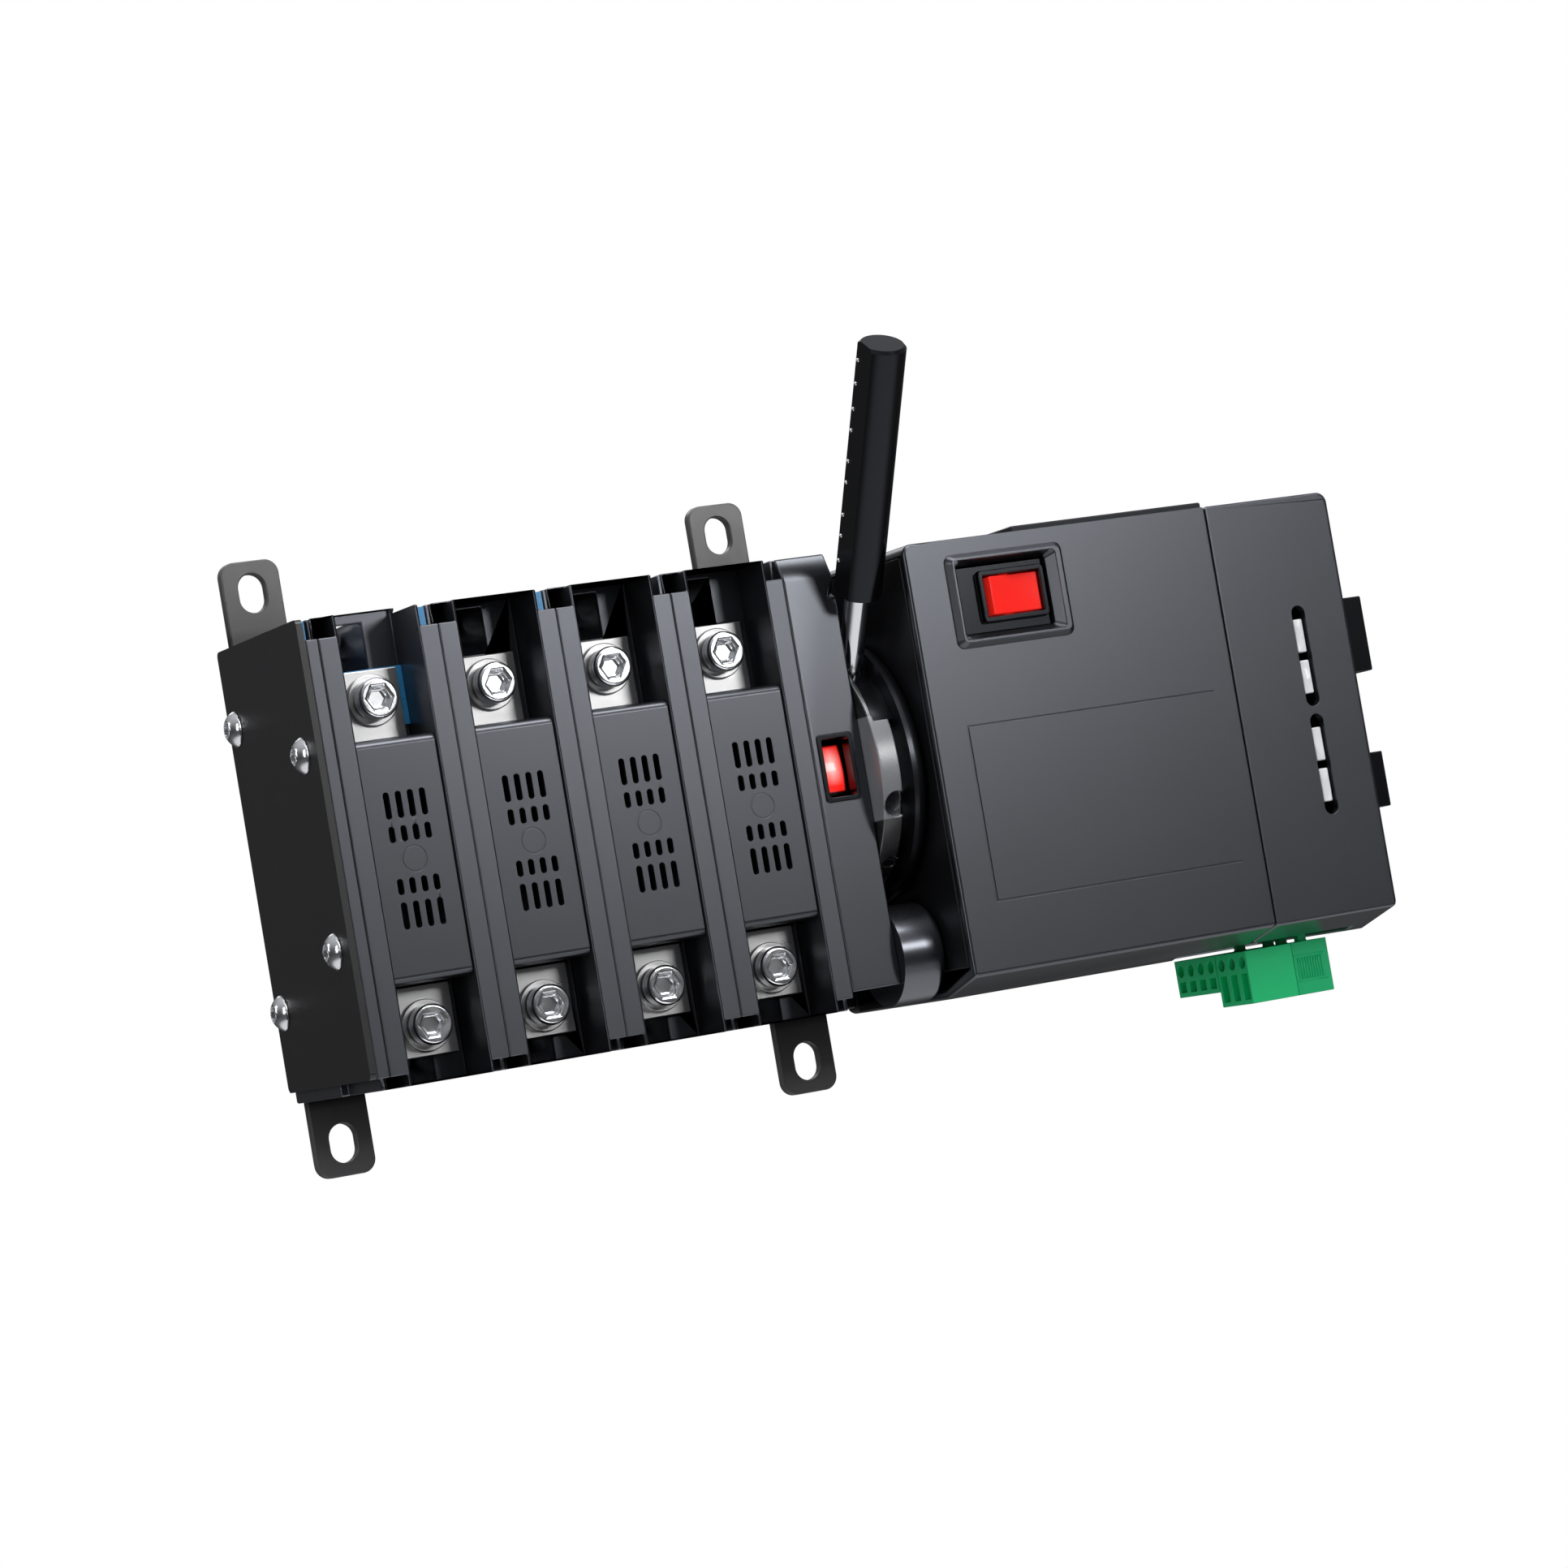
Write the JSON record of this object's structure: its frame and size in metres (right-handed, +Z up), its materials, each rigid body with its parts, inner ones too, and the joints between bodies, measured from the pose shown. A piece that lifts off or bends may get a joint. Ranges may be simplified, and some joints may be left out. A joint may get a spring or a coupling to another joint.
{
  "type": "automatic transfer switch",
  "caption": "Panel mounted changeover switch with a row of vented poles, a side lever hub and a motor control box with plug-in terminals.",
  "frame": {"origin": "centre of the four mounting slots, on the mounting plane", "axes": "+X along the row of poles towards the control box, +Y into the panel, +Z up; the front faces -Y"},
  "size_m": [0.2808, 0.1103, 0.1761],
  "materials": {
    "charcoal_plastic": "moulded satin",
    "end_plate_paint": "satin black",
    "strap_steel": "dark painted sheet",
    "bright_screw": "polished",
    "plated_bar": "tin plated copper",
    "zinc_screw": "zinc plated",
    "cover_plastic": "moulded satin",
    "blue_insulator": "blue moulding",
    "black_plastic": "moulded black",
    "gloss_black": "glossy black",
    "shaft_steel": "ground steel",
    "contact_copper": "copper",
    "hub_grey": "light grey",
    "red_gloss": "glossy red",
    "green_gloss": "glossy green",
    "rod_chrome": "polished",
    "gear_steel": "cut steel",
    "pinion_brass": "brass",
    "board_green": "circuit board",
    "transformer_core": "laminations and winding",
    "light_pipe": "clear white",
    "plug_green": "green moulding"
  },
  "bodies": {
    "switch_body": {"base_plate": "black_plastic", "left_end_plate": "end_plate_paint", "end_barrier": "charcoal_plastic", "end_plate_screws": "bright_screw", "left_mounting_strap": "strap_steel", "right_mounting_strap": "strap_steel", "strap_screws": "zinc_screw", "pole_housing_1": "charcoal_plastic", "pole_housing_2": "charcoal_plastic", "pole_housing_3": "charcoal_plastic", "pole_housing_4": "charcoal_plastic", "pole_covers": "cover_plastic", "neutral_insulators": "blue_insulator", "barrier_slot_strips": "blue_insulator", "upper_line_terminals": "plated_bar", "lower_line_terminals": "plated_bar", "load_bars": "plated_bar", "terminal_washers": "bright_screw", "front_terminal_screws": "bright_screw", "rear_terminal_screws": "bright_screw", "arc_chute_plates": "zinc_screw", "mechanism_housing": "charcoal_plastic", "mechanism_cover": "charcoal_plastic", "indicator_window": "black_plastic", "drive_motor": "gloss_black", "gear_bracket": "zinc_screw", "gear_bracket_screws": "zinc_screw", "control_base": "black_plastic", "control_cover": "charcoal_plastic", "module_cover": "charcoal_plastic", "selector_bezel": "charcoal_plastic", "selector_body": "gloss_black", "control_board": "board_green", "control_relays": "black_plastic", "supply_transformer": "transformer_core", "indicator_light_pipes": "light_pipe", "upper_side_socket": "gloss_black", "lower_side_socket": "gloss_black", "terminal_board": "board_green", "terminal_headers": "plug_green", "control_base_screws": "zinc_screw"},
    "transfer_shaft": {"main_shaft": "shaft_steel", "contact_carriers": "black_plastic", "moving_contacts": "contact_copper", "indicator_drum": "black_plastic", "indicator_flag_red": "red_gloss", "indicator_flag_green": "green_gloss", "handle_hub": "hub_grey", "lever_clamp_block": "black_plastic", "drive_disc": "gloss_black", "hub_set_screw": "zinc_screw", "drive_gear": "gear_steel"},
    "handle": {"handle_rod": "rod_chrome", "handle_grip": "gloss_black"},
    "motor_output": {"motor_shaft": "shaft_steel", "motor_pinion": "pinion_brass"},
    "selector": {"selector_rocker": "red_gloss"},
    "front_plug_body": {"front_plug": "plug_green", "plug_screws": "zinc_screw"},
    "rear_plug_body": {"rear_plug": "plug_green"}
  },
  "joints": [
    {"name": "transfer", "type": "hinge", "parent": "switch_body", "child": "transfer_shaft", "pos_m": [0.0653, -0.044, 0.0005], "axis": [1, 0, 0], "range_deg": [0, 90]},
    {"name": "handle_pull", "type": "slide", "parent": "transfer_shaft", "child": "handle", "axis": [0, -0.5373, 0.8434], "range_m": [0, 0.014]},
    {"name": "motor_turn", "type": "hinge", "parent": "switch_body", "child": "motor_output", "pos_m": [0.08, -0.057, -0.03733], "axis": [1, 0, 0], "range_deg": [-198.5, 0.5]},
    {"name": "selector_rock", "type": "hinge", "parent": "switch_body", "child": "selector", "pos_m": [0.1018, -0.0775, 0.03675], "axis": [0, 0, 1], "range_deg": [-16, 0]},
    {"name": "front_plug_pull", "type": "slide", "parent": "switch_body", "child": "front_plug_body", "axis": [-1, 0, 0], "range_m": [0, 0.012]},
    {"name": "rear_plug_pull", "type": "slide", "parent": "switch_body", "child": "rear_plug_body", "axis": [-1, 0, 0], "range_m": [0, 0.012]}
  ],
  "couplings": [
    {"joint": "motor_turn", "follows": "transfer", "ratio": -2.2}
  ]
}
